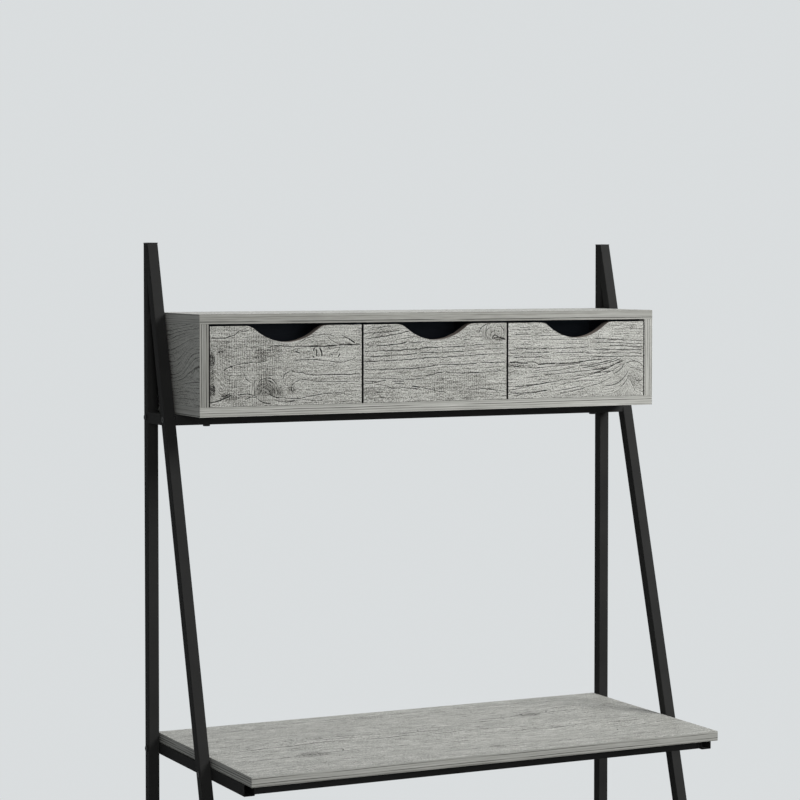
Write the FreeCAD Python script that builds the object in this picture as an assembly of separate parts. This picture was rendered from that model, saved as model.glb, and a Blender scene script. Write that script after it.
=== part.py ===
import FreeCAD, Part
import math
import os

# A ladder desk: two A-shaped side frames of square steel tube carry a worktop
# and, higher up, a hutch with three inset drawers.
#
# Units are millimetres. +X is to the right seen from the front, +Y is to the
# rear and +Z is up. The origin is on the floor, below the middle of the desk.

os.makedirs("parts", exist_ok=True)

Vector = FreeCAD.Vector
ALONG_X = Vector(1, 0, 0)
ALONG_Y = Vector(0, 1, 0)
ALONG_Z = Vector(0, 0, 1)
SIDES = (("left", -1), ("right", 1))

# ---------------------------------------------------------------- dimensions

# Whole desk
overall_width = 1060.0            # across the outer faces of the side frames
overall_depth = 500.0             # back of the rear legs to the toes of the front legs
overall_height = 1727.0           # floor to the top of the rear legs' caps

# Square steel tube
tube_size = 22.0
tube_wall = 1.2
tube_corner_radius = 1.5

# Heights
hutch_drop = 138.0                # top of the legs' caps down to the top of the hutch
worktop_height = 750.0            # floor to the top face of the worktop
foot_rail_height = 120.0          # floor to the underside of the low rails and crossbar

# Boards
board_thickness = 19.0
board_edge_radius = 0.6
board_side_gap = 3.0              # between a board's end and the side frame
worktop_depth = 490.0
hutch_depth = 238.0
hutch_height = 197.0
back_panel_thickness = 3.0
back_panel_inset = 10.0           # rear edge of the boards to the back panel
back_panel_groove = 6.0           # depth of the groove that holds the back panel
divider_thickness = 12.0

# Frame under the worktop
desk_front_bar_setback = 40.0     # front edge of the worktop to the front crossbar
desk_bearer_setback = 30.0        # front edge of the worktop to the bearers' ends

# Drawer fronts
drawer_names = ("left", "middle", "right")
front_thickness = 19.0
front_setback = 0.5               # behind the front edges of the hutch
front_gap_outer = 2.5             # to the hutch's sides
front_gap_between = 4.0           # to the next front
front_gap_top = 4.0               # to the hutch's top board
front_gap_bottom = 0.4            # to the hutch's bottom board

# Finger cut-out: a round bottom, straight flanks and rounded lips
cutout_depth = 32.0
cutout_arc_radius = 100.0
cutout_lip_radius = 31.0
cutout_flank_angle = math.radians(36.0)

# Drawer boxes
box_wall = 12.0
box_height = 100.0
box_side_clearance = 1.5          # each side of the middle drawer's box
box_rear_clearance = 1.0          # to the hutch's back panel
box_bottom_thickness = 3.0
box_bottom_height = 10.0          # lower edge of the box to its bottom panel
box_groove = 5.0                  # depth of the groove that holds the bottom panel
divider_front_clearance = 1.0     # drawer front to the divider behind it

# Strips that the drawers run on and between
glide_thickness = 1.0
glide_width = 10.0
glide_clearance = 0.2             # between a strip and the drawer
guide_height = 30.0
guide_front_margin = 15.0         # front of the divider to the front end of the strips
guide_rear_margin = 10.0          # back panel to the rear end of the strips

# Caps and feet
cap_thickness = 2.0
foot_thickness = 5.0
plug_length = 18.0                # of the stem inside the tube
plug_clearance = 0.2              # stem to the tube's inner wall

# Bolts, nuts and plugs
bolt_diameter = 6.0
bolt_clearance = 0.3              # round the shank in a plain hole
thread_clearance = 0.05           # round the shank in a thread, and round press-in parts
leg_bolt_head_diameter = 12.0
leg_bolt_head_height = 3.0
flat_bolt_head_height = 1.0
hutch_bolt_head_diameter = 14.0
hutch_bolt_head_height = 3.5
socket_width = 4.0                # across the flats of the hexagon socket
socket_depth_share = 0.6          # of the head's height
head_rounding_share = 0.4         # of the head's height
end_plug_length = 12.0
bearer_nut_diameter = 9.0
bearer_nut_length = 14.0
insert_diameter = 10.0
insert_length = 10.0
hutch_bolt_inset = 66.0           # end of the hutch to its bolts

# Wood screws
screw_diameter = 4.0
screw_head_diameter = 8.0
screw_head_height = 2.5
worktop_screw_bite = 12.0         # into the worktop
worktop_screw_end_margin = 45.0   # ends of a bearer to its outer screws
carcass_screw_bite = 26.0         # into a side or a divider
carcass_screw_front_margin = 45.0
carcass_screw_rear_margin = 60.0

# Cams and dowels
cam_diameter = 15.0
cam_depth = 12.5
cam_drop = 24.0                   # top board's underside to a cam's centre
cam_slot_length = 10.0
cam_slot_width = 2.0
cam_slot_depth = 2.0
cam_bolt_diameter = 5.0
cam_bolt_bite = 11.0              # into the top board
cam_margin = 45.0                 # front and rear edges of a side to its cams
dowel_diameter = 6.0
dowel_face_depth = 8.0            # into the face of a board
dowel_end_depth = 17.0            # into the end of a board
dowel_end_gap = 0.3
divider_dowel_margin = 50.0
box_dowel_margin = 25.0           # edges of a drawer side to its dowels

# Holes for fixing the desk to a wall, through the rear crossbar
anchor_hole_diameter = 6.5
anchor_hole_spacing = 406.0

# ------------------------------------------------------------ derived places

outer_x = overall_width / 2
inner_x = outer_x - tube_size             # inner faces of the side frames
leg_x = outer_x - tube_size / 2           # middle of the side frames
board_half_width = inner_x - board_side_gap
back_y = overall_depth / 2
toe_y = -overall_depth / 2
rear_leg_front_y = back_y - tube_size
rear_leg_y = back_y - tube_size / 2
leg_top = overall_height - cap_thickness

leg_slope = (overall_depth - tube_size) / leg_top
leg_angle = math.atan(leg_slope)
leg_width_level = tube_size / math.cos(leg_angle)   # front leg, measured level

hutch_top_z = overall_height - hutch_drop
hutch_bottom_z = hutch_top_z - hutch_height
hutch_floor_z = hutch_bottom_z + board_thickness
hutch_ceiling_z = hutch_top_z - board_thickness
hutch_front_y = back_y - hutch_depth
hutch_inner_x = board_half_width - board_thickness
back_panel_rear_y = back_y - back_panel_inset
back_panel_front_y = back_panel_rear_y - back_panel_thickness
hutch_bar_z = hutch_bottom_z - tube_size / 2

worktop_underside = worktop_height - board_thickness
worktop_front_y = back_y - worktop_depth
bearer_z = worktop_underside - tube_size / 2
bearer_x = inner_x - tube_size / 2
bearer_front_y = worktop_front_y + desk_bearer_setback
desk_front_bar_y = worktop_front_y + desk_front_bar_setback + tube_size / 2
foot_rail_z = foot_rail_height + tube_size / 2

front_count = len(drawer_names)
front_width = (2 * hutch_inner_x - 2 * front_gap_outer
               - (front_count - 1) * front_gap_between) / front_count
front_pitch = front_width + front_gap_between
front_y = hutch_front_y + front_setback
front_back_y = front_y + front_thickness
drawer_low_z = hutch_floor_z + glide_thickness + glide_clearance
front_low_z = hutch_floor_z + front_gap_bottom
front_top_z = hutch_ceiling_z - front_gap_top
divider_front_y = front_back_y + divider_front_clearance
divider_x = front_pitch / 2
box_half_width = divider_x - divider_thickness / 2 - box_side_clearance
box_rear_y = back_panel_front_y - box_rear_clearance
box_top_z = drawer_low_z + box_height
guide_front_y = divider_front_y + guide_front_margin
guide_rear_y = back_panel_front_y - guide_rear_margin
outer_box_face_x = front_pitch + box_half_width


def leg_face_y(z):
    """Front face of a slanted leg at a height."""
    return rear_leg_front_y - leg_slope * (leg_top - z)


def leg_rear_y(z):
    """Rear face of a slanted leg at a height."""
    return leg_face_y(z) + leg_width_level


def leg_middle_y(z):
    """Middle of a slanted leg at a height."""
    return leg_face_y(z) + leg_width_level / 2


# ------------------------------------------------------------------- helpers

def block(low, high):
    """Plain box between two corners."""
    return Part.makeBox(high[0] - low[0], high[1] - low[1], high[2] - low[2], Vector(*low))


def board(low, high):
    """Laminated board with slightly eased edges."""
    shape = block(low, high)
    return shape.makeFillet(board_edge_radius, shape.Edges)


def prism_x(points, low_x, high_x):
    """Solid with an outline in the YZ plane, from low_x to high_x."""
    corners = [Vector(low_x, y, z) for y, z in points]
    outline = Part.makePolygon(corners + corners[:1])
    return Part.Face(outline).extrude(Vector(high_x - low_x, 0, 0))


def rod(start, direction, diameter, length):
    """Round bar from a point along a direction."""
    return Part.makeCylinder(diameter / 2, length, Vector(*start), direction)


def hexagon_rod(start, direction, width, length):
    """Hexagonal bar, given across its flats, from a point along a direction."""
    corner_radius = width / 2 / math.cos(math.pi / 6)
    turns = [math.pi / 3 * step for step in range(7)]
    corners = [Vector(corner_radius * math.cos(a), corner_radius * math.sin(a), 0) for a in turns]
    bar = Part.Face(Part.makePolygon(corners)).extrude(Vector(0, 0, length))
    bar.Placement = FreeCAD.Placement(Vector(*start), FreeCAD.Rotation(ALONG_Z, direction))
    return bar


def square_tube(start, direction, length):
    """Square tube from the middle of its end, along a direction."""
    half = tube_size / 2
    bore_half = half - tube_wall
    outer = Part.makeBox(tube_size, tube_size, length, Vector(-half, -half, 0))
    long_edges = [e for e in outer.Edges if abs(e.Vertexes[0].Z - e.Vertexes[1].Z) > length / 2]
    outer = outer.makeFillet(tube_corner_radius, long_edges)
    bore = Part.makeBox(2 * bore_half, 2 * bore_half, length, Vector(-bore_half, -bore_half, 0))
    tube = outer.cut(bore)
    tube.Placement = FreeCAD.Placement(Vector(*start), FreeCAD.Rotation(ALONG_Z, direction))
    return tube


def drilled(shape, holes):
    """One solid with holes or grooves cut out of it."""
    return shape.cut(holes).Solids[0]


def group(shapes):
    """Separate solids kept together in one node."""
    return Part.makeCompound(shapes)


def bolt(seat, inward, head_diameter, head_height, shank_length):
    """Round-head bolt with a hexagon socket; seat is the point under its head."""
    seat_point = Vector(*seat)
    head = rod(seat, inward * -1, head_diameter, head_height)
    top = seat_point - inward * head_height
    rim = [e for e in head.Edges if e.Closed and (e.CenterOfMass - top).Length < 0.01]
    head = head.makeFillet(head_height * head_rounding_share, rim)
    socket = hexagon_rod(top, inward, socket_width, head_height * socket_depth_share)
    shank = rod(seat, inward, bolt_diameter, shank_length)
    return head.fuse(shank).cut(socket).removeSplitter().Solids[0]


def wood_screw(seat, length):
    """Pan-head wood screw, driven upwards from the point under its head."""
    x, y, z = seat
    head = rod((x, y, z - screw_head_height), ALONG_Z, screw_head_diameter, screw_head_height)
    tip_length = screw_diameter
    shank = rod(seat, ALONG_Z, screw_diameter, length - tip_length)
    tip_base = Vector(x, y, z + length - tip_length)
    tip = Part.makeCone(screw_diameter / 2, 0, tip_length, tip_base, ALONG_Z)
    return head.fuse([shank, tip]).removeSplitter().Solids[0]


def flush_screw(seat, length):
    """Flat-head wood screw, driven upwards from a point level with its head."""
    x, y, z = seat
    head = Part.makeCone(screw_head_diameter / 2, screw_diameter / 2, screw_head_height,
                         Vector(x, y, z), ALONG_Z)
    shank = rod((x, y, z + screw_head_height), ALONG_Z, screw_diameter, length - screw_head_height)
    return head.fuse(shank).removeSplitter().Solids[0]


def flush_screw_hole(seat, length):
    """Countersunk hole that a flush_screw fits."""
    x, y, z = seat
    grow = thread_clearance
    sink = Part.makeCone(screw_head_diameter / 2 + grow, screw_diameter / 2 + grow,
                         screw_head_height, Vector(x, y, z), ALONG_Z)
    return sink.fuse(rod(seat, ALONG_Z, screw_diameter + 2 * grow, length + dowel_end_gap))


def dowel(joint, direction):
    """Dowel across a joint; direction points into the end of the butting board."""
    start = Vector(*joint) - direction * (dowel_face_depth - dowel_end_gap)
    length = dowel_face_depth + dowel_end_depth - 2 * dowel_end_gap
    return rod(start, direction, dowel_diameter, length)


def dowel_hole(joint, direction):
    """Hole that a dowel fits, in both boards."""
    start = Vector(*joint) - direction * dowel_face_depth
    length = dowel_face_depth + dowel_end_depth
    return rod(start, direction, dowel_diameter + 2 * thread_clearance, length)


parts = {}

# --------------------------------------------------- side frames and crossbars

# Bolts run inwards from the outer faces of the legs, at these (y, z) places.
rear_crossbar_bolts = [(rear_leg_y, hutch_bar_z), (rear_leg_y, foot_rail_z)]
front_crossbar_bolts = [(leg_middle_y(hutch_bar_z), hutch_bar_z)]
rear_bearer_bolts = [(rear_leg_y, bearer_z)]
front_bearer_bolts = [(leg_middle_y(bearer_z), bearer_z)]
plain_hole_diameter = bolt_diameter + 2 * bolt_clearance
thread_diameter = bolt_diameter + 2 * thread_clearance
bearer_nut_hole_diameter = bearer_nut_diameter + 2 * thread_clearance


def leg_holes(side, places):
    """Bolt holes right through a leg."""
    start_x = side * outer_x
    inward = ALONG_X * -side
    return [rod((start_x, y, z), inward, plain_hole_diameter, tube_size) for y, z in places]


def rear_leg(side):
    leg = square_tube((side * leg_x, rear_leg_y, foot_thickness), ALONG_Z, leg_top - foot_thickness)
    return drilled(leg, leg_holes(side, rear_crossbar_bolts + rear_bearer_bolts))


def front_leg(side):
    """Slanted tube, cut level at the foot and upright where it meets the rear leg."""
    uncut_low_z = -2 * tube_size
    uncut_length = (leg_top - 3 * uncut_low_z) / math.cos(leg_angle)
    uphill = Vector(0, math.sin(leg_angle), math.cos(leg_angle))
    leg = square_tube((side * leg_x, leg_middle_y(uncut_low_z), uncut_low_z), uphill, uncut_length)
    low = (side * leg_x - tube_size, toe_y - tube_size, foot_thickness)
    high = (side * leg_x + tube_size, rear_leg_front_y, leg_top)
    leg = leg.common(block(low, high))
    return drilled(leg, leg_holes(side, front_crossbar_bolts + front_bearer_bolts))


def side_rail(side, middle_z):
    """Level rail from the rear leg to the slanted leg, mitred onto it."""
    low_z = middle_z - tube_size / 2
    high_z = middle_z + tube_size / 2
    length = rear_leg_front_y - leg_face_y(low_z)
    rail = square_tube((side * leg_x, rear_leg_front_y, middle_z), ALONG_Y * -1, length)
    outline = [(rear_leg_front_y, low_z), (rear_leg_front_y, high_z),
               (leg_rear_y(high_z), high_z), (leg_rear_y(low_z), low_z)]
    return rail.common(prism_x(outline, side * leg_x - tube_size, side * leg_x + tube_size)).Solids[0]


def rear_foot(side):
    half = tube_size / 2
    stem_half = half - tube_wall - plug_clearance
    x = side * leg_x
    pad = block((x - half, rear_leg_y - half, 0), (x + half, rear_leg_y + half, foot_thickness))
    stem = block((x - stem_half, rear_leg_y - stem_half, foot_thickness),
                 (x + stem_half, rear_leg_y + stem_half, foot_thickness + plug_length))
    return pad.fuse(stem).removeSplitter().Solids[0]


def front_foot(side):
    """Plug for the level-cut end of a slanted leg."""
    half = tube_size / 2
    stem_half = half - tube_wall - plug_clearance
    inset = (tube_wall + plug_clearance) / math.cos(leg_angle)
    stem_top = foot_thickness + plug_length
    x = side * leg_x
    pad_outline = [(leg_face_y(0), 0), (leg_rear_y(0), 0),
                   (leg_rear_y(foot_thickness), foot_thickness),
                   (leg_face_y(foot_thickness), foot_thickness)]
    stem_outline = [(leg_face_y(foot_thickness) + inset, foot_thickness),
                    (leg_rear_y(foot_thickness) - inset, foot_thickness),
                    (leg_rear_y(stem_top) - inset, stem_top),
                    (leg_face_y(stem_top) + inset, stem_top)]
    pad = prism_x(pad_outline, x - half, x + half)
    stem = prism_x(stem_outline, x - stem_half, x + stem_half)
    return pad.fuse(stem).removeSplitter().Solids[0]


def leg_cap(side):
    half = tube_size / 2
    stem_half = half - tube_wall - plug_clearance
    x = side * leg_x
    lid = block((x - half, rear_leg_y - half, leg_top), (x + half, rear_leg_y + half, overall_height))
    upper_edges = [e for e in lid.Edges if all(v.Z > leg_top for v in e.Vertexes)]
    lid = lid.makeFillet(board_edge_radius, upper_edges)
    stem = block((x - stem_half, rear_leg_y - stem_half, leg_top - plug_length),
                 (x + stem_half, rear_leg_y + stem_half, leg_top))
    return lid.fuse(stem).removeSplitter().Solids[0]


for side_name, side in SIDES:
    parts["rear_leg_" + side_name] = rear_leg(side)
    parts["front_leg_" + side_name] = front_leg(side)
    parts["hutch_rail_" + side_name] = side_rail(side, hutch_bar_z)
    parts["foot_rail_" + side_name] = side_rail(side, foot_rail_z)
    parts["foot_rear_" + side_name] = rear_foot(side)
    parts["foot_front_" + side_name] = front_foot(side)
    parts["leg_cap_" + side_name] = leg_cap(side)


def crossbar(half_length, y, z, holes):
    """Level tube from side to side, with its holes."""
    bar = square_tube((-half_length, y, z), ALONG_X, 2 * half_length)
    return drilled(bar, holes) if holes else bar.Solids[0]


def rising_hole(x, y, z, diameter):
    """Hole up through a level tube whose middle is at a place."""
    return rod((x, y, z - tube_size / 2), ALONG_Z, diameter, tube_size)


hutch_bolt_x = board_half_width - hutch_bolt_inset
hutch_front_bar_y = leg_middle_y(hutch_bar_z)
front_bar_holes = [rising_hole(side * hutch_bolt_x, hutch_front_bar_y, hutch_bar_z, plain_hole_diameter)
                   for _, side in SIDES]
rear_bar_holes = [rising_hole(side * hutch_bolt_x, rear_leg_y, hutch_bar_z, plain_hole_diameter)
                  for _, side in SIDES]
anchor_holes = [rod((side * anchor_hole_spacing / 2, rear_leg_front_y, hutch_bar_z), ALONG_Y,
                    anchor_hole_diameter, tube_size) for _, side in SIDES]
parts["hutch_front_crossbar"] = crossbar(inner_x, hutch_front_bar_y, hutch_bar_z, front_bar_holes)
parts["hutch_rear_crossbar"] = crossbar(inner_x, rear_leg_y, hutch_bar_z, rear_bar_holes + anchor_holes)
parts["foot_crossbar"] = crossbar(inner_x, rear_leg_y, foot_rail_z, [])

# ------------------------------------------------- worktop and its steel frame

bearer_inner_x = inner_x - tube_size
bearer_length = back_y - bearer_front_y
bearer_screw_ys = [bearer_front_y + worktop_screw_end_margin,
                   bearer_front_y + bearer_length / 2,
                   back_y - worktop_screw_end_margin]
worktop_screw_places = [(side * bearer_x, y) for _, side in SIDES for y in bearer_screw_ys]
screw_hole_diameter = screw_diameter + 2 * bolt_clearance
pilot_diameter = screw_diameter + 2 * thread_clearance
bearer_underside = worktop_underside - tube_size


def desk_bearer(side):
    """Tube under one end of the worktop, bolted to the legs beside it."""
    bearer = square_tube((side * bearer_x, bearer_front_y, bearer_z), ALONG_Y, bearer_length)
    screw_holes = [rising_hole(x, y, bearer_z, screw_hole_diameter)
                   for x, y in worktop_screw_places if x * side > 0]
    nut_holes = [rod((side * inner_x, y, z), ALONG_X * -side, bearer_nut_hole_diameter, tube_size / 2)
                 for y, z in rear_bearer_bolts + front_bearer_bolts]
    return drilled(bearer, screw_holes + nut_holes)


for side_name, side in SIDES:
    parts["desk_bearer_" + side_name] = desk_bearer(side)
parts["desk_front_crossbar"] = crossbar(bearer_inner_x, desk_front_bar_y, bearer_z, [])
parts["desk_rear_crossbar"] = crossbar(bearer_inner_x, rear_leg_y, bearer_z, [])

worktop = board((-board_half_width, worktop_front_y, worktop_underside),
                (board_half_width, back_y, worktop_height))
pilot_holes = [rod((x, y, worktop_underside), ALONG_Z, pilot_diameter, worktop_screw_bite + dowel_end_gap)
               for x, y in worktop_screw_places]
parts["worktop"] = drilled(worktop, pilot_holes)
parts["worktop_screws"] = group([wood_screw((x, y, bearer_underside), tube_size + worktop_screw_bite)
                                 for x, y in worktop_screw_places])

# ------------------------------------------------------------- frame's bolts


def leg_bolts(places, head_height, reach):
    """Bolts through the legs of both sides, reaching past them into a thread."""
    return [bolt((side * outer_x, y, z), ALONG_X * -side, leg_bolt_head_diameter,
                 head_height, tube_size + reach)
            for _, side in SIDES for y, z in places]


def end_plug(side, place):
    """Threaded block in the end of a crossbar."""
    y, z = place
    half = tube_size / 2 - tube_wall - plug_clearance
    near = side * inner_x
    far = side * (inner_x - end_plug_length)
    plug = block((min(near, far), y - half, z - half), (max(near, far), y + half, z + half))
    return drilled(plug, [rod((near, y, z), ALONG_X * -side, thread_diameter, end_plug_length)])


def bearer_nut(side, place):
    """Threaded sleeve in the wall of a bearer."""
    start = (side * inner_x, place[0], place[1])
    inward = ALONG_X * -side
    sleeve = rod(start, inward, bearer_nut_diameter, bearer_nut_length)
    return drilled(sleeve, [rod(start, inward, thread_diameter, bearer_nut_length)])


crossbar_bolts = rear_crossbar_bolts + front_crossbar_bolts
bearer_bolts = rear_bearer_bolts + front_bearer_bolts
parts["rear_leg_bolts"] = group(leg_bolts(rear_crossbar_bolts, leg_bolt_head_height, end_plug_length)
                                + leg_bolts(rear_bearer_bolts, leg_bolt_head_height, bearer_nut_length))
parts["front_leg_bolts"] = group(leg_bolts(front_crossbar_bolts, flat_bolt_head_height, end_plug_length)
                                 + leg_bolts(front_bearer_bolts, flat_bolt_head_height, bearer_nut_length))
parts["crossbar_end_plugs"] = group([end_plug(side, place) for _, side in SIDES for place in crossbar_bolts])
parts["bearer_nuts"] = group([bearer_nut(side, place) for _, side in SIDES for place in bearer_bolts])

hutch_bolt_places = [(side * hutch_bolt_x, y) for _, side in SIDES for y in (hutch_front_bar_y, rear_leg_y)]
hutch_bar_underside = hutch_bottom_z - tube_size
parts["hutch_bolts"] = group([bolt((x, y, hutch_bar_underside), ALONG_Z, hutch_bolt_head_diameter,
                                   hutch_bolt_head_height, tube_size + insert_length)
                              for x, y in hutch_bolt_places])


def insert(x, y):
    """Threaded insert, level with the underside of the hutch."""
    start = (x, y, hutch_bottom_z)
    sleeve = rod(start, ALONG_Z, insert_diameter, insert_length)
    return drilled(sleeve, [rod(start, ALONG_Z, thread_diameter, insert_length)])


parts["hutch_inserts"] = group([insert(x, y) for x, y in hutch_bolt_places])

# --------------------------------------------------------------------- hutch

side_middle_x = board_half_width - board_thickness / 2
carcass_screw_ys = [divider_front_y + carcass_screw_front_margin, back_y - carcass_screw_rear_margin]
carcass_screw_xs = [-side_middle_x, -divider_x, divider_x, side_middle_x]
carcass_screw_places = [(x, y, hutch_bottom_z) for x in carcass_screw_xs for y in carcass_screw_ys]
carcass_screw_length = board_thickness + carcass_screw_bite

# Dowels stand up from the ends of the sides and dividers into the top board.
carcass_middle_y = (hutch_front_y + back_panel_front_y) / 2
side_dowels = [(side * side_middle_x, carcass_middle_y, hutch_ceiling_z) for _, side in SIDES]
divider_dowel_ys = [divider_front_y + divider_dowel_margin, back_panel_front_y - divider_dowel_margin]
divider_dowels = [(side * divider_x, y, hutch_ceiling_z) for _, side in SIDES for y in divider_dowel_ys]
hutch_dowel_places = side_dowels + divider_dowels

cam_ys = [hutch_front_y + cam_margin, back_panel_front_y - cam_margin]
cam_places = [(side, y) for _, side in SIDES for y in cam_ys]
cam_z = hutch_ceiling_z - cam_drop
cam_bolt_length = cam_bolt_bite + cam_drop - cam_diameter / 2 - dowel_end_gap


def cam(side, y, extra):
    """Cam, level with the inner face of a hutch side."""
    start = (side * hutch_inner_x, y, cam_z)
    return rod(start, ALONG_X * side, cam_diameter + 2 * extra, cam_depth + extra)


def cam_with_slot(side, y):
    """Cam with a screwdriver slot in its face."""
    near = side * hutch_inner_x
    far = side * (hutch_inner_x + cam_slot_depth)
    slot = block((min(near, far), y - cam_slot_length / 2, cam_z - cam_slot_width / 2),
                 (max(near, far), y + cam_slot_length / 2, cam_z + cam_slot_width / 2))
    return drilled(cam(side, y, 0), [slot])


def cam_bolt(side, y, extra):
    """Pin from the top board down to a cam."""
    start = (side * side_middle_x, y, hutch_ceiling_z + cam_bolt_bite + extra)
    return rod(start, ALONG_Z * -1, cam_bolt_diameter + 2 * extra, cam_bolt_length + extra)


insert_holes = [rod((x, y, hutch_bottom_z), ALONG_Z, insert_diameter + 2 * thread_clearance,
                    insert_length + dowel_end_gap) for x, y in hutch_bolt_places]
carcass_holes = (insert_holes
                 + [flush_screw_hole(place, carcass_screw_length) for place in carcass_screw_places]
                 + [dowel_hole(place, ALONG_Z * -1) for place in hutch_dowel_places]
                 + [cam(side, y, thread_clearance) for side, y in cam_places]
                 + [cam_bolt(side, y, thread_clearance) for side, y in cam_places])

# The back panel's groove runs round all four boards.
groove_low = (-hutch_inner_x - back_panel_groove, back_panel_front_y - thread_clearance,
              hutch_floor_z - back_panel_groove)
groove_high = (hutch_inner_x + back_panel_groove, back_panel_rear_y + thread_clearance,
               hutch_ceiling_z + back_panel_groove)
back_panel_space = block(groove_low, groove_high)
panel_low = (groove_low[0] + dowel_end_gap, back_panel_front_y, groove_low[2] + dowel_end_gap)
panel_high = (groove_high[0] - dowel_end_gap, back_panel_rear_y, groove_high[2] - dowel_end_gap)

carcass_boards = {
    "hutch_top": board((-board_half_width, hutch_front_y, hutch_ceiling_z),
                       (board_half_width, back_y, hutch_top_z)),
    "hutch_bottom": board((-board_half_width, hutch_front_y, hutch_bottom_z),
                          (board_half_width, back_y, hutch_floor_z)),
    "hutch_side_left": board((-board_half_width, hutch_front_y, hutch_floor_z),
                             (-hutch_inner_x, back_y, hutch_ceiling_z)),
    "hutch_side_right": board((hutch_inner_x, hutch_front_y, hutch_floor_z),
                              (board_half_width, back_y, hutch_ceiling_z)),
}
for name, plain_board in carcass_boards.items():
    parts[name] = drilled(plain_board, carcass_holes + [back_panel_space])
for side_name, side in SIDES:
    low_x = side * divider_x - divider_thickness / 2
    divider = block((low_x, divider_front_y, hutch_floor_z),
                    (low_x + divider_thickness, back_panel_front_y, hutch_ceiling_z))
    parts["hutch_divider_" + side_name] = drilled(divider, carcass_holes)
parts["hutch_back"] = block(panel_low, panel_high)

parts["hutch_screws"] = group([flush_screw(place, carcass_screw_length) for place in carcass_screw_places])
parts["hutch_dowels"] = group([dowel(place, ALONG_Z * -1) for place in hutch_dowel_places])
parts["hutch_cam_fittings"] = group([cam_with_slot(side, y) for side, y in cam_places]
                                    + [cam_bolt(side, y, 0) for side, y in cam_places])

# Strips under both sides of each drawer box, and beside the outer boxes
front_centres = [front_pitch * (step - (front_count - 1) / 2) for step in range(front_count)]
glide_offset = box_half_width - box_wall / 2
glide_centres = [centre + side * glide_offset for centre in front_centres for _, side in SIDES]
glide_high_z = hutch_floor_z + glide_thickness
parts["hutch_glide_strips"] = group([block((x - glide_width / 2, guide_front_y, hutch_floor_z),
                                           (x + glide_width / 2, guide_rear_y, glide_high_z))
                                     for x in glide_centres])


def side_guide(side):
    """Strip on a hutch side that the outer drawer's box runs along."""
    near = side * (outer_box_face_x + box_side_clearance)
    far = side * hutch_inner_x
    return block((min(near, far), guide_front_y, hutch_floor_z),
                 (max(near, far), guide_rear_y, hutch_floor_z + guide_height))


parts["hutch_side_guides"] = group([side_guide(side) for _, side in SIDES])

# ------------------------------------------------------------------- drawers


def drawer_front(centre_x):
    """Board with a scooped finger cut-out in its top edge."""
    flank_sin = math.sin(cutout_flank_angle)
    flank_cos = math.cos(cutout_flank_angle)
    arc_low_z = front_top_z - cutout_depth
    arc_end = (cutout_arc_radius * flank_sin, arc_low_z + cutout_arc_radius * (1 - flank_cos))
    lip_start_z = front_top_z - cutout_lip_radius * (1 - flank_cos)
    lip_start_x = arc_end[0] + (lip_start_z - arc_end[1]) / math.tan(cutout_flank_angle)
    lip_end_x = lip_start_x + cutout_lip_radius * flank_sin
    lip_half_sin = math.sin(cutout_flank_angle / 2)
    lip_half_cos = math.cos(cutout_flank_angle / 2)
    lip_middle = (lip_end_x - cutout_lip_radius * lip_half_sin,
                  front_top_z - cutout_lip_radius * (1 - lip_half_cos))

    def point(x, z):
        return Vector(centre_x + x, front_y, z)

    def line(start, end):
        return Part.LineSegment(start, end).toShape()

    def arc(start, middle, end):
        return Part.Arc(start, middle, end).toShape()

    half = front_width / 2
    edges = [
        line(point(-half, front_low_z), point(half, front_low_z)),
        line(point(half, front_low_z), point(half, front_top_z)),
        line(point(half, front_top_z), point(lip_end_x, front_top_z)),
        arc(point(lip_end_x, front_top_z), point(*lip_middle), point(lip_start_x, lip_start_z)),
        line(point(lip_start_x, lip_start_z), point(*arc_end)),
        arc(point(*arc_end), point(0, arc_low_z), point(-arc_end[0], arc_end[1])),
        line(point(-arc_end[0], arc_end[1]), point(-lip_start_x, lip_start_z)),
        arc(point(-lip_start_x, lip_start_z), point(-lip_middle[0], lip_middle[1]),
            point(-lip_end_x, front_top_z)),
        line(point(-lip_end_x, front_top_z), point(-half, front_top_z)),
        line(point(-half, front_top_z), point(-half, front_low_z)),
    ]
    front = Part.Face(Part.Wire(edges)).extrude(Vector(0, front_thickness, 0))
    face_edges = [e for e in front.Edges if all(abs(v.Y - front_y) < 0.01 for v in e.Vertexes)]
    return front.makeFillet(board_edge_radius, face_edges)


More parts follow.
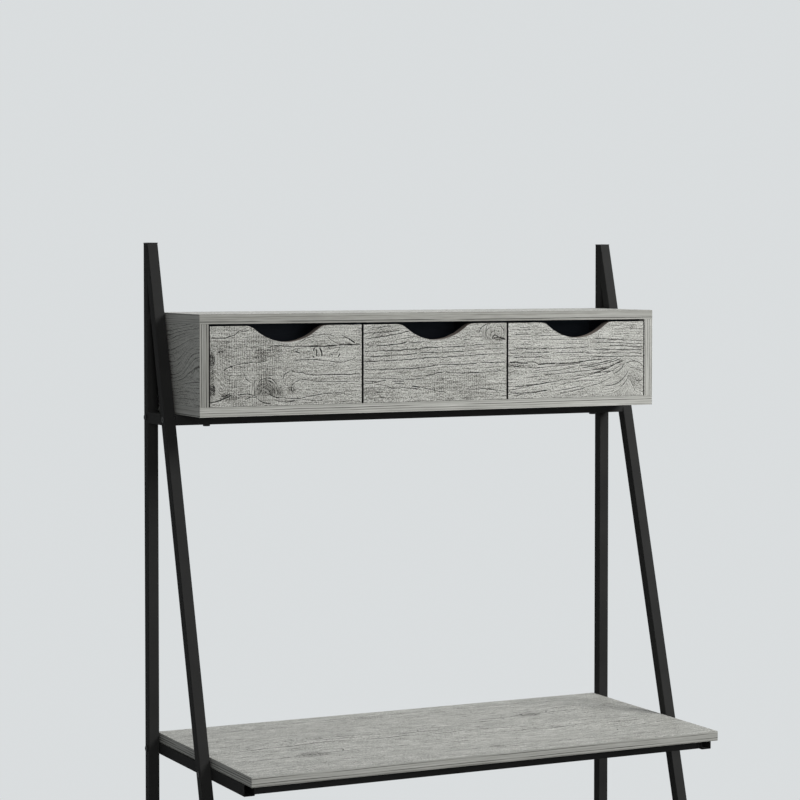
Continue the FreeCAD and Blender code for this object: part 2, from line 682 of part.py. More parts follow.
def build_drawer(name, centre_x):
    """Front and box of one drawer, from boards, a bottom panel and dowels."""
    low_x = centre_x - box_half_width
    high_x = centre_x + box_half_width
    bottom_low_z = drawer_low_z + box_bottom_height
    bottom_high_z = bottom_low_z + box_bottom_thickness
    panel_space = block((low_x + box_wall - box_groove, front_back_y - box_groove,
                         bottom_low_z - thread_clearance),
                        (high_x - box_wall + box_groove, box_rear_y - box_wall + box_groove,
                         bottom_high_z + thread_clearance))
    panel = block((low_x + box_wall - box_groove + dowel_end_gap, front_back_y - box_groove + dowel_end_gap,
                   bottom_low_z),
                  (high_x - box_wall + box_groove - dowel_end_gap,
                   box_rear_y - box_wall + box_groove - dowel_end_gap, bottom_high_z))

    dowel_zs = [drawer_low_z + box_dowel_margin, box_top_z - box_dowel_margin]
    wall_middles = [low_x + box_wall / 2, high_x - box_wall / 2]
    front_dowels = [((x, front_back_y, z), ALONG_Y) for x in wall_middles for z in dowel_zs]
    back_middle_y = box_rear_y - box_wall / 2
    back_dowels = [((centre_x + side * (box_half_width - box_wall), back_middle_y, z), ALONG_X * -side)
                   for _, side in SIDES for z in dowel_zs]
    dowels = front_dowels + back_dowels
    cuts = [panel_space] + [dowel_hole(joint, direction) for joint, direction in dowels]

    node = "drawer_" + name
    parts[node + "_front"] = drilled(drawer_front(centre_x), cuts)
    parts[node + "_side_left"] = drilled(block((low_x, front_back_y, drawer_low_z),
                                               (low_x + box_wall, box_rear_y, box_top_z)), cuts)
    parts[node + "_side_right"] = drilled(block((high_x - box_wall, front_back_y, drawer_low_z),
                                                (high_x, box_rear_y, box_top_z)), cuts)
    parts[node + "_back"] = drilled(block((low_x + box_wall, box_rear_y - box_wall, drawer_low_z),
                                          (high_x - box_wall, box_rear_y, box_top_z)), cuts)
    parts[node + "_bottom"] = panel
    parts[node + "_dowels"] = group([dowel(joint, direction) for joint, direction in dowels])


for drawer_name, drawer_centre in zip(drawer_names, front_centres):
    build_drawer(drawer_name, drawer_centre)

# -------------------------------------------------------------------- export

for node_name, shape in parts.items():
    shape.exportStep("parts/" + node_name + ".step")
print(len(parts), "nodes")
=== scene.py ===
import math

import bpy
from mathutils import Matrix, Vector


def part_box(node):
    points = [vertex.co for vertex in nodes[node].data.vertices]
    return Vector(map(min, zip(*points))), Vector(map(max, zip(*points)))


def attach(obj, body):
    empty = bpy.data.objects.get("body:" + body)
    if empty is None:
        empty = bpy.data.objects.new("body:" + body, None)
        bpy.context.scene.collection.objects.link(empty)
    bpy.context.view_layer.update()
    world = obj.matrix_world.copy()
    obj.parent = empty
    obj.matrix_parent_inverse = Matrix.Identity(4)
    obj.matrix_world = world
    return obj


# The looks of a ladder desk: boards with a grey oak print on a black powder-coated
# steel frame. Pieces are in metres, and all patterns are laid out in millimetres.

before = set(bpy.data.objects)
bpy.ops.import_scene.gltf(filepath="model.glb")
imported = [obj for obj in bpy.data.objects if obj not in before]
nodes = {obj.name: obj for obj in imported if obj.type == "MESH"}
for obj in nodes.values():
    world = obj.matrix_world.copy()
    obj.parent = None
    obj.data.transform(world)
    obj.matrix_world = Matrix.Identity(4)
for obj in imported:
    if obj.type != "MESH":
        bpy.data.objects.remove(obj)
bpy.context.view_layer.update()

MM = 0.001
X, Y, Z = 0, 1, 2
SIDES = (("left", -1), ("right", 1))
DRAWERS = ("left", "middle", "right")


# ------------------------------------------------------------- shader fields

def plug(tree, socket, value):
    """Feeds a socket from a field or another socket, or sets its own value."""
    value = getattr(value, "socket", value)
    if isinstance(value, bpy.types.NodeSocket):
        tree.links.new(value, socket)
    else:
        socket.default_value = value


def add_node(tree, kind, inputs=None, **settings):
    """A node with its settings, and its inputs plugged by name or number."""
    node = tree.nodes.new(kind)
    for name, value in settings.items():
        setattr(node, name, value)
    for name, value in (inputs or {}).items():
        plug(tree, node.inputs[name], value)
    return node


class Field:
    """A number that varies over a surface. Arithmetic on it adds Math nodes."""

    def __init__(self, tree, socket):
        self.tree = tree
        self.socket = socket

    def math(self, operation, *others):
        """What a Math node makes of this field and the others."""
        inputs = dict(enumerate((self, *others)))
        node = add_node(self.tree, "ShaderNodeMath", inputs, operation=operation)
        return Field(self.tree, node.outputs[0])

    def __add__(self, other):
        return self.math("ADD", other)

    def __sub__(self, other):
        return self.math("SUBTRACT", other)

    def __mul__(self, other):
        return self.math("MULTIPLY", other)

    def __truediv__(self, other):
        return self.math("DIVIDE", other)

    def __neg__(self):
        return self * -1.0

    def __abs__(self):
        return self.math("ABSOLUTE")

    def less_from(self, whole):
        """whole minus this field."""
        return -self + whole

    def over(self, limit):
        """1 where the field is above the limit, 0 elsewhere."""
        return self.math("GREATER_THAN", limit)

    def between(self, start, end):
        """Rises smoothly from 0 at start to 1 at end, or falls if end is below start."""
        inputs = {"Value": self, "From Min": start, "From Max": end}
        node = add_node(self.tree, "ShaderNodeMapRange", inputs, interpolation_type="SMOOTHSTEP")
        return Field(self.tree, node.outputs["Result"])

    def mixed(self, other, share):
        """This field where share is 0, the other where it is 1."""
        node = add_node(self.tree, "ShaderNodeMix", {0: share, 2: self, 3: other})
        return Field(self.tree, node.outputs[0])


def noise(along, across, through, detail=0.0, roughness=0.5):
    """Smooth noise, 0 to 1, one lump per unit of its three coordinates."""
    tree = along.tree
    place = add_node(tree, "ShaderNodeCombineXYZ", {0: along, 1: across, 2: through})
    inputs = {"Vector": place.outputs[0], "Scale": 1.0, "Detail": detail, "Roughness": roughness}
    node = add_node(tree, "ShaderNodeTexNoise", inputs)
    return Field(tree, node.outputs["Fac"])


def new_group(name, inputs, outputs):
    """A shader node group with float sockets, its input fields and its output node."""
    group = bpy.data.node_groups.new(name, "ShaderNodeTree")
    for label in inputs:
        group.interface.new_socket(name=label, in_out="INPUT", socket_type="NodeSocketFloat")
    for label in outputs:
        group.interface.new_socket(name=label, in_out="OUTPUT", socket_type="NodeSocketFloat")
    start = group.nodes.new("NodeGroupInput")
    end = group.nodes.new("NodeGroupOutput")
    fields = [Field(group, start.outputs[label]) for label in inputs]
    return group, fields, end


def place_group(tree, group, *values):
    """The group's output fields by name, in a tree where its inputs take the values in order."""
    node = add_node(tree, "ShaderNodeGroup", node_tree=group)
    for socket, value in zip(node.inputs, values):
        plug(tree, socket, value)
    return {output.name: Field(tree, output) for output in node.outputs}


def linear(*levels):
    """A colour given in 0 to 255 display levels, as the shader's linear values."""
    shares = [level / 255 for level in levels]
    values = [share / 12.92 if share <= 0.04045 else ((share + 0.055) / 1.055) ** 2.4 for share in shares]
    return (*values, 1.0)


# -------------------------------------------------------------- node groups

def make_bend_group():
    """A hump or hollow in the grain, which its lines climb over: round at sharpness 2, a ridge at 1."""
    names = ("Bent", "Along", "Across", "Middle Along", "Middle Across", "Reach Along", "Reach Across",
             "Lift", "Sharpness")
    group, fields, end = new_group("grain bend", names, ("Bent",))
    bent, along, across, middle_along, middle_across, reach_along, reach_across, lift, sharpness = fields
    far_along = abs(along - middle_along) / reach_along
    far_across = (across - middle_across) / reach_across
    distance = far_along.math("POWER", sharpness) + far_across * far_across
    plug(group, end.inputs["Bent"], bent - (-distance).math("EXPONENT") * lift)
    return group


def make_knot_group():
    """A knot: the grain closes round it in rings. What lies below its floor is cut off."""
    names = ("Bent", "Along", "Across", "Middle Along", "Middle Across", "Radius", "Floor", "Tightness")
    group, fields, end = new_group("knot", names, ("Bent",))
    bent, along, across, middle_along, middle_across, radius, floor, tightness = fields
    off_along = along - middle_along
    off_across = across - middle_across
    distance = (off_along * off_along + off_across * off_across).math("SQRT")
    inside = (distance / radius).between(1.15, 0.9) * (across - floor).between(-1.0, 1.0)
    plug(group, end.inputs["Bent"], bent.mixed(distance * tightness + middle_across, inside))
    return group


# A trace of the earlier marks goes into each new one. It can't be seen, and it makes the
# renderer work the marks out one after another, because it can't hold them all at once.
CHAIN = 0.001


def make_smudge_group():
    """A dark speckled patch in the wood, such as a knot's heart, added to the earlier ones."""
    names = ("Earlier", "Along", "Across", "Grit", "Middle Along", "Middle Across", "Reach Along",
             "Reach Across", "Floor", "Depth")
    group, fields, end = new_group("dark patch", names, ("Mask",))
    earlier, along, across, grit, middle_along, middle_across = fields[:6]
    reach_along, reach_across, floor, depth = fields[6:]
    far_along = (along - middle_along + earlier * CHAIN) / reach_along
    far_across = (across - middle_across) / reach_across
    distance = far_along * far_along + far_across * far_across
    body = distance.between(1.1, 0.35) * (across - floor).between(-1.0, 1.0)
    plug(group, end.inputs["Mask"], earlier.math("MAXIMUM", body * (grit * 0.75 + 0.25) * depth))
    return group


CRACK_HIGHLIGHT = 0.20     # how much a painted highlight lightens the print just below a crack


def make_stroke_group():
    """A crack or dark grain line with a painted highlight below it, as if its lower edge caught light: a
    bowed line that comes and goes.
    """
    names = ("Earlier", "Along", "Across", "Ragged", "Fade", "Middle Along", "Middle Across",
             "Turn", "Half Length", "Bow", "Width", "Depth")
    group, fields, end = new_group("dark stroke", names, ("Mask",))
    earlier, along, across, ragged, fade, middle_along, middle_across, turn, half_length, bow = fields[:10]
    width, depth = fields[10:]
    cosine = turn.math("COSINE")
    sine = turn.math("SINE")
    past_along = along - middle_along + earlier * CHAIN
    past_across = across - middle_across
    share = (past_along * cosine + past_across * sine) / half_length
    beside = past_across * cosine - past_along * sine
    above = beside - share.math("MULTIPLY", share).less_from(1.0) * bow - ragged
    body = (abs(above) / (width * fade)).between(1.0, 0.25)
    reach = abs(share).between(1.02, 0.92) * fade.between(0.45, 0.75)
    mask = body * reach * depth
    # A painted highlight just below the line, where a groove's lower edge would catch light from above.
    below = -(above + width * fade * 0.75)
    pale = below.between(0.0, 0.7) * below.between(2.4, 1.2) * reach
    plug(group, end.inputs["Mask"], earlier * mask.less_from(1.0) + mask - pale * CRACK_HIGHLIGHT)
    return group


# How much each part of the grain darkens the print, or lightens it, and how high it stands.
PLAIN_TONE = 0.73
MOTTLE_TONE = 0.35
FIBRE_TONE = 1.35
SPECKLE_TONE = 1.65
LATE_WOOD_TONE = 0.08
WEAK_LINE_TONE = 0.40
STRONG_LINE_TONE = 0.80
HALO_TONE = 0.14
PORE_TONE = 0.30
FIBRE_RELIEF = 0.6
SPECKLE_RELIEF = 0.4
LINE_RELIEF = 0.8
PORE_RELIEF = 0.6

RIPPLE = 2.2        # millimetres by which a ring line strays over a few centimetres


def make_grain_group():
    """Growth rings, fibres and pores of oak, that follow the across coordinate.

    Each noise takes its lumps per millimetre along and across the grain, and a seed of its own.
    """
    names = ("Along", "Across", "Seed", "Spacing", "Wander", "Dashed", "Lines")
    group, fields, end = new_group("oak grain", names, ("Tone", "Relief"))
    along, across, seed, spacing, wander, dashed, lines = fields
    sway = noise(along * 0.007, across * 0.02, seed, detail=1.5)
    ripple = noise(along * 0.05, across * 0.16, seed + 3.1, detail=1.0)
    bent = across + (sway - 0.5) * wander + (ripple - 0.5) * RIPPLE
    pace = noise(bent * 0.035, seed, seed + 5.7, detail=1.0)
    rings = bent / spacing + pace * 3.0
    ring_share = rings.math("FRACT")
    ring_number = rings.math("FLOOR")
    lottery = add_node(group, "ShaderNodeTexWhiteNoise", {"W": ring_number + seed}, noise_dimensions="1D")
    strength = Field(group, lottery.outputs["Value"])
    gaps = noise(along * 0.10, ring_number * 7.7, seed + 9.4, detail=2.0, roughness=0.65)
    dashes = gaps.between(0.42, 0.52).mixed(1.0, dashed.less_from(1.0))
    stretches = noise(along * 0.010, ring_number * 3.3, seed + 8.1).between(0.30, 0.50)
    printed = dashes * stretches * lines
    line = ring_share.between(0.79, 0.83) * ring_share.between(0.97, 0.93) * printed
    halo = ring_share.between(0.26, 0.04) * printed
    late_wood = ring_share.between(0.35, 0.90) * ring_share.between(1.0, 0.94)
    fibre = noise(along * 0.035, bent * 0.40, seed + 12.0, detail=3.0, roughness=0.7)
    pores = noise(along * 0.12, bent * 0.62, seed + 17.0, detail=1.0, roughness=0.6).between(0.60, 0.66)
    mottle = noise(along * 0.012, bent * 0.04, seed + 21.0, detail=2.0, roughness=0.5)
    speckle = noise(along * 0.38, across * 0.42, seed + 25.0, detail=1.0, roughness=0.7)
    line_tone = strength * (STRONG_LINE_TONE - WEAK_LINE_TONE) + WEAK_LINE_TONE
    tone = ((mottle - 0.5) * MOTTLE_TONE + (fibre - 0.5) * FIBRE_TONE + (speckle - 0.5) * SPECKLE_TONE
            - late_wood * strength * LATE_WOOD_TONE - line * line_tone + halo * HALO_TONE
            - pores * PORE_TONE + PLAIN_TONE)
    relief = ((fibre - 0.5) * FIBRE_RELIEF + (speckle - 0.5) * SPECKLE_RELIEF
              - line * LINE_RELIEF - pores * PORE_RELIEF)
    plug(group, end.inputs["Tone"], tone)
    plug(group, end.inputs["Relief"], relief)
    return group


# The edge band's lines lie this far apart in millimetres, and wander by this much.
BAND_SPACING = 4.6
BAND_WANDER = 3.0


def make_edge_group():
    """The edge band of a board: quiet straight lines along its length."""
    names = ("Along", "Across", "Seed")
    group, (along, across, seed), end = new_group("edge band", names, ("Tone", "Relief"))
    drift = noise(along * 0.004, seed, seed + 2.0, detail=1.0)
    level = (across + (drift - 0.5) * BAND_WANDER) / BAND_SPACING
    line_share = level.math("FRACT")
    line_number = level.math("FLOOR")
    lottery = add_node(group, "ShaderNodeTexWhiteNoise", {"W": line_number + seed}, noise_dimensions="1D")
    strength = Field(group, lottery.outputs["Value"])
    stretches = noise(along * 0.006, line_number * 5.1, seed + 6.0, detail=1.0).between(0.30, 0.55)
    line = line_share.between(0.05, 0.12) * line_share.between(0.38, 0.30) * stretches * strength
    streaks = noise(along * 0.0015, across * 0.16, seed + 4.0, detail=1.0, roughness=0.6)
    fibre = noise(along * 0.016, across * 0.8, seed + 12.0, detail=3.0, roughness=0.7)
    tone = (streaks - 0.5) * 0.40 + (fibre - 0.5) * 0.60 - line * 0.85 + 0.70
    plug(group, end.inputs["Tone"], tone)
    plug(group, end.inputs["Relief"], (fibre - 0.5) * 0.3 - line * 0.5)
    return group


SAW_PITCH = 4.7     # millimetres from one saw mark to the next


def make_saw_mark_group():
    """Fine ridges that a saw leaves square to the grain, in one patch of a board."""
    names = ("Along", "Across", "Middle Along", "Middle Across", "Reach Along", "Reach Across", "Seed")
    group, fields, end = new_group("saw marks", names, ("Mask",))
    along, across, middle_along, middle_across, reach_along, reach_across, seed = fields
    far_along = (along - middle_along) / reach_along
    far_across = (across - middle_across) / reach_across
    distance = far_along * far_along + far_across * far_across
    drift = noise(along * 0.05, across * 0.012, seed)
    ridges = abs((along / SAW_PITCH + drift * 1.2).math("FRACT") - 0.5).between(0.12, 0.38)
    breaks = noise(along * 0.03, across * 0.03, seed + 2.2, detail=2.0).between(0.25, 0.55)
    plug(group, end.inputs["Mask"], ridges * breaks * distance.between(1.0, 0.2))
    return group


def make_powder_group():
    """The pebbled skin of a powder coat, with faint smudges from handling."""
    group, (along, across, through), end = new_group("powder coat", ("X", "Y", "Z"), ("Pebble", "Smudge"))
    pebble = noise(along * 0.9, across * 0.9, through * 0.9, detail=2.0, roughness=0.55)
    smudge = noise(along * 0.011, across * 0.011, through * 0.011, detail=3.0, roughness=0.6)
    plug(group, end.inputs["Pebble"], pebble)
    plug(group, end.inputs["Smudge"], smudge)
    return group


BEND = make_bend_group()
KNOT = make_knot_group()
SMUDGE = make_smudge_group()
STROKE = make_stroke_group()
GRAIN = make_grain_group()
EDGE_BAND = make_edge_group()
SAW_MARKS = make_saw_mark_group()
POWDER = make_powder_group()


# ---------------------------------------------------------------- materials

def new_material(name):
    """An empty node material, its tree and its shader."""
    material = bpy.data.materials.new(name)
    material.use_nodes = True
    tree = material.node_tree
    return material, tree, tree.nodes["Principled BSDF"]


def places(tree):
    """Object coordinates in millimetres and the surface normal, as three fields each."""
    coordinate = add_node(tree, "ShaderNodeTexCoord")
    place = add_node(tree, "ShaderNodeSeparateXYZ", {0: coordinate.outputs["Object"]})
    facing = add_node(tree, "ShaderNodeSeparateXYZ", {0: coordinate.outputs["Normal"]})
    millimetres = [Field(tree, output) * 1000.0 for output in place.outputs]
    return millimetres, [abs(Field(tree, output)) for output in facing.outputs]


def ramp(tree, value, stops):
    """A colour for each value, between stops of (value, colour)."""
    node = add_node(tree, "ShaderNodeValToRGB", {"Fac": value})
    elements = node.color_ramp.elements
    while len(elements) < len(stops):
        elements.new(0.5)
    for element, (position, colour) in zip(elements, stops):
        element.position = position
        element.color = colour
    return node.outputs["Color"]


def bump(tree, shader, height, distance):
    """Surface relief: height 1 stands distance metres proud."""
    node = add_node(tree, "ShaderNodeBump", {"Height": height, "Distance": distance})
    plug(tree, shader.inputs["Normal"], node.outputs["Normal"])


GREY_OAK = (
    (0.00, linear(24, 23, 22)),
    (0.20, linear(78, 77, 73)),
    (0.45, linear(132, 131, 125)),
    (0.68, linear(168, 168, 162)),
    (1.00, linear(212, 212, 206)),
)
# Painted shade: the drawer fronts' edges are black for the dark gaps between and above the fronts.
GAP_SHADE_EDGE = (
    (0.30, linear(20, 19, 19)),
    (0.80, linear(38, 36, 35)),
)
SAWN_CORE = (
    (0.30, linear(104, 95, 90)),
    (0.80, linear(150, 139, 132)),
)
# Painted shade: the black that the boards take inside the hutch, behind the drawer fronts.
INSIDE_SHADE_BLACK = (
    (0.30, (0.027, 0.034, 0.046, 1)),
    (0.80, (0.038, 0.047, 0.062, 1)),
)
NO_FLOOR = -1000.0      # the floor of a knot or smudge that nothing cuts off
MARK_TONE = 0.82        # how much the darkest crack darkens the print
BOARD_RELIEF = 0.10 * MM
END_SHIFT = 37.0        # millimetres between the band's lines on a board's ends and on its long edges
CUTOUT_BLUR = 1.0       # millimetres over which the cut-out's sawn edge turns into the edge painted black as shade
INSIDE_SHADE_REACH = 0.4      # millimetres past a shaded inner face to which its painted black shade reaches


def colour_mix(tree, share, first, second):
    """The first colour where share is 0, the second where it is 1."""
    node = add_node(tree, "ShaderNodeMix", {0: share, 6: first, 7: second}, data_type="RGBA")
    return node.outputs[2]


def bent_grain(tree, along, across, slope, bends, knots):
    """The across coordinate that the grain follows, past the board's humps and knots."""
    bent = across - along * slope
    for bend in bends:
        bent = place_group(tree, BEND, bent, along, across, *bend)["Bent"]
    for knot in knots:
        bent = place_group(tree, KNOT, bent, along, across, *knot)["Bent"]
    return bent


def dark_marks(tree, along, across, seed, smudges, strokes):
    """How dark the board's patches, cracks and strongest grain lines make each place."""
    seed_field = along * 0.0 + seed
    grit = noise(along * 0.30, across * 0.30, seed_field + 2.9, detail=3.0, roughness=0.75)
    grit = grit.between(0.38, 0.62)
    marks = along * 0.0
    for smudge in smudges:
        marks = place_group(tree, SMUDGE, marks, along, across, grit, *smudge)["Mask"]
    ragged = (noise(along * 0.07, across * 0.10, seed_field, detail=2.0) - 0.5) * 4.0
    fade = noise(along * 0.06, across * 0.16, seed_field + 7.3, detail=2.0) + 0.45
    for start, finish, bow, width, depth in strokes:
        run_along = finish[0] - start[0]
        run_across = finish[1] - start[1]
        middle = ((start[0] + finish[0]) / 2, (start[1] + finish[1]) / 2)
        turn = math.atan2(run_across, run_along)
        half_length = math.hypot(run_along, run_across) / 2
        marks = place_group(tree, STROKE, marks, along, across, ragged, fade, *middle, turn,
                            half_length, bow, width, depth)["Mask"]
    return marks


def inside_shade_front():
    """Depth in millimetres from which the hutch's inside is painted black as shade: behind the drawer fronts.
    """
    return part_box("drawer_left_front")[1][Y] / MM


def board_edge_colour(tree, along, across, tone, cutout):
    """The edge band's colour: grey oak, or on a front black as painted shade in the gaps between the fronts,
    with a bare core in the cut-out.
    """
    if cutout is None:
        return ramp(tree, tone, GREY_OAK)
    half_width, low, high = cutout
    sawn = abs(along).between(half_width, half_width - CUTOUT_BLUR)
    sawn = sawn * across.between(low - CUTOUT_BLUR, low) * across.between(high, high - CUTOUT_BLUR / 2)
    return colour_mix(tree, sawn, ramp(tree, tone, GAP_SHADE_EDGE), ramp(tree, tone, SAWN_CORE))


def oak_print(name, along_axis, face_axis, seed, origin=(0, 0, 0), bends=(), knots=(), smudges=(),
              strokes=(), saw_patches=(), spacing=8.0, wander=26.0, slope=0.0, dashed=0.7, lines=1.0,
              painted_light=0.0, edge_painted_light=0.0, end_painted_light=None, cutout=None, shaded_inner_face=None):
    """Grey oak laminate on one board: broad grain on its faces, straight lines on its edges."""
    across_axis = 3 - along_axis - face_axis
    material, tree, shader = new_material(name)
    place, facing = places(tree)
    along = place[along_axis] - origin[along_axis]
    across = place[across_axis] - origin[across_axis]
    through = place[face_axis] - origin[face_axis]

    bent = bent_grain(tree, along, across, slope, bends, knots)
    grain = place_group(tree, GRAIN, along, bent, seed, spacing, wander, dashed, lines)
    # painted_light makes the whole print paler, as painted light on the board's face.
    tone = grain["Tone"] + painted_light
    relief = grain["Relief"]
    if smudges or strokes:
        marks = dark_marks(tree, along, across, seed, smudges, strokes)
        tone = tone - marks * MARK_TONE
    for *patch, depth in saw_patches:
        tone = tone - place_group(tree, SAW_MARKS, along, across, *patch, seed)["Mask"] * depth

    on_edge = facing[face_axis].between(0.75, 0.55)
    on_end = facing[along_axis].over(0.6)
    band = place_group(tree, EDGE_BAND, along.mixed(across, on_end), through + on_end * END_SHIFT, seed)
    # edge_painted_light and end_painted_light make the edges and ends paler or darker, as painted light and
    # shade.
    edge_tone = band["Tone"] + edge_painted_light
    if end_painted_light is not None:
        edge_tone = edge_tone + on_end * end_painted_light
    edge_colour = board_edge_colour(tree, along, across, edge_tone, cutout)
    board_colour = colour_mix(tree, on_edge, ramp(tree, tone, GREY_OAK), edge_colour)
    # Inside the hutch, behind the fronts, the board's face is painted black as shade.
    if shaded_inner_face is not None:
        level, towards = shaded_inner_face
        past_face = (place[face_axis] - level) * towards
        inside_shade = past_face.between(-INSIDE_SHADE_REACH, -INSIDE_SHADE_REACH / 2) * place[Y].over(inside_shade_front())
        board_colour = colour_mix(tree, inside_shade, board_colour, ramp(tree, tone, INSIDE_SHADE_BLACK))
    plug(tree, shader.inputs["Base Color"], board_colour)
    plug(tree, shader.inputs["Roughness"], tone * -0.12 + 0.66)
    shader.inputs["Specular IOR Level"].default_value = 0.25
    bump(tree, shader, relief.mixed(band["Relief"], on_edge), BOARD_RELIEF)
    return material


POWDER_COAT = (
    (0.3, (0.0270, 0.0270, 0.0265, 1)),
    (0.7, (0.0390, 0.0390, 0.0380, 1)),
)
COAT_RELIEF = 0.06 * MM


def black_powder_coat():
    """The matt pebbled coat on the steel tubes and the weld beads."""
    material, tree, shader = new_material("black powder coat")
    place, _ = places(tree)
    coat = place_group(tree, POWDER, *place)
    shade = coat["Smudge"] * 0.6 + coat["Pebble"] * 0.4
    plug(tree, shader.inputs["Base Color"], ramp(tree, shade, POWDER_COAT))
    plug(tree, shader.inputs["Roughness"], coat["Smudge"] * 0.22 + 0.44)
    shader.inputs["Specular IOR Level"].default_value = 0.012
    bump(tree, shader, coat["Pebble"], COAT_RELIEF)
    return material


# Painted shade: the blue-black of the boards inside the hutch and the drawers.
INTERIOR_SHADE_COLOURS = (
    (0.32, (0.023, 0.029, 0.039, 1)),
    (0.50, (0.031, 0.038, 0.051, 1)),
    (0.66, (0.042, 0.051, 0.067, 1)),
)
LAMINATE_RELIEF = 0.08 * MM
COARSE_SCALE = 0.6          # the laminate's texture against that of the powder coat


def shaded_interior_board():
    """Board inside the hutch and the drawers, blue-black as painted shade, with an embossed fibre."""
    material, tree, shader = new_material("interior board dark as painted shade")
    place, facing = places(tree)
    coat = place_group(tree, POWDER, *(field * COARSE_SCALE for field in place))
    level = facing[Z].over(0.7)
    across = place[Z].mixed(place[Y], level)
    along = place[X] + place[Y] * level.less_from(1.0)
    fibre = noise(along * 0.03, across * 0.55, level, detail=3.0, roughness=0.65)
    shade = coat["Smudge"] * 0.4 + fibre * 0.6
    plug(tree, shader.inputs["Base Color"], ramp(tree, shade, INTERIOR_SHADE_COLOURS))
    plug(tree, shader.inputs["Roughness"], fibre * -0.15 + 0.62)
    shader.inputs["Specular IOR Level"].default_value = 0.25
    bump(tree, shader, fibre + coat["Pebble"] * 0.3, LAMINATE_RELIEF)
    return material


TEXTURE_SCALE = 0.5         # the small parts' texture against that of the powder coat
GRAIN_SCALE = 0.03          # the same along the grain of a wooden part
SMALL_PART_RELIEF = 0.03 * MM


def plain_finish(name, dark, pale, roughness, metallic=0.0, specular=0.5, along=None):
    """A small part's finish with a fine texture, stretched along one axis if one is named."""
    material, tree, shader = new_material(name)
    place, _ = places(tree)
    scales = [GRAIN_SCALE if axis == along else TEXTURE_SCALE for axis in (X, Y, Z)]
    coat = place_group(tree, POWDER, *(field * scale for field, scale in zip(place, scales)))
    plug(tree, shader.inputs["Base Color"], ramp(tree, coat["Pebble"], ((0.35, dark), (0.65, pale))))
    plug(tree, shader.inputs["Roughness"], coat["Smudge"] * 0.2 + (roughness - 0.1))
    shader.inputs["Metallic"].default_value = metallic
    shader.inputs["Specular IOR Level"].default_value = specular
    bump(tree, shader, coat["Pebble"], SMALL_PART_RELIEF)
    return material


def dress(name, material):
    """Gives a CAD node its material."""
    mesh = nodes[name].data
    mesh.materials.clear()
    mesh.materials.append(material)


# How much paler the side boards are printed, as painted light on their faces.
SIDE_PAINTED_LIGHT = 0.16


def wood_boards():
    """One material for each board, so that no two boards show the same print."""
    # The faces painted black as shade inside the hutch: the top's underside and the bottom's upper side.
    top_underside = (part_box("hutch_top")[0][Z] / MM, -1)
    bottom_top_side = (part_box("hutch_bottom")[1][Z] / MM, 1)
    # For each flat board: its seed, the painted light and shade on its edges, the painted light on its ends,
    # the face painted black inside as shade, and its grain.
    flat_boards = (("hutch_top", 11.0, -0.09, 0.30, top_underside, TOP_GRAIN),
                   ("hutch_bottom", 42.0, 0.07, 0.10, bottom_top_side, {}),
                   ("worktop", 73.0, 0.0, 0.10, None, WORKTOP_GRAIN))
    for name, seed, edge_painted_light, end_painted_light, shaded_inner_face, grain in flat_boards:
        material = oak_print(name.replace("_", " ") + " oak", X, Z, seed, edge_painted_light=edge_painted_light,
                             end_painted_light=end_painted_light, shaded_inner_face=shaded_inner_face, **grain)
        dress(name, material)
    front_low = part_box("hutch_bottom")[0] / MM
    origin = (0, front_low[Y], front_low[Z])
    inner_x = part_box("hutch_side_right")[0][X] / MM
    # The left side's edges are darkened as painted shade, the right side's lightened as painted light.
    for (side_name, side), seed, edge_painted_light in zip(SIDES, (131.0, 148.0), (-0.12, 0.10)):
        shaded_inner_face = (side * inner_x, -side)
        material = oak_print(side_name + " side oak", Y, X, seed, origin, painted_light=SIDE_PAINTED_LIGHT,
                             edge_painted_light=edge_painted_light, shaded_inner_face=shaded_inner_face, **SIDE_GRAIN)
        dress("hutch_side_" + side_name, material)


# Grain is laid out in millimetres: on the worktop and the hutch's top from the middle of
# the desk, on a side board from its lower front corner, and on a drawer front from the
# middle of its lower edge.
# A bend is (middle along, middle across, reach along, reach across, lift, sharpness).
# A knot is (middle along, middle across, radius, floor, tightness of its rings).
# A smudge is (middle along, middle across, reach along, reach across, floor, depth).
# A stroke is (start, end, bow, width, depth), and its weight gives the last two.
# A saw patch is (middle along, middle across, reach along, reach across, depth).
# Spacing is the pitch of the growth rings, wander is how far they stray, slope is their climb,
# dashed is how broken their lines are, and lines is how dark.
CRACK = (1.9, 1.1)
NICK = (1.8, 1.6)
LINE = (1.2, 0.95)
HAIR = (0.95, 0.75)


def drawn(weight, *runs):
    """Strokes of one weight, each run being (start, end, bow)."""
    return [(start, end, bow, *weight) for start, end, bow in runs]


def rows(weight, starts, end, height, pitch, rise, steeper):
    """Grain lines one above another that reach the same end, each steeper than the last."""
    runs = []
    for number, start in enumerate(starts):
        level = height + pitch * number
        runs.append(((start, level), (end, level + rise + steeper * number), 0))
    return drawn(weight, *runs)


def long_cracks(heights):
    """Cracks over a whole front, each in three lengths that climb to the right."""
    strokes = []
    for height in heights:
        left_length = ((-159, height), (-40, height + 4), -1.5)
        middle_length = ((-37, height + 5), (64, height + 7), -0.5)
        right_length = ((69, height + 7), (154, height + 10), 1)
        strokes += drawn(LINE, left_length, middle_length) + drawn(HAIR, right_length)
    return strokes


# A hump at the front edge and a hollow behind it.
SIDE_GRAIN = dict(
    bends=((0, 128, 95, 48, 38, 2), (150, 84, 60, 30, -10, 2)),
    wander=16.0,
    spacing=8.0,
    dashed=0.25,
)
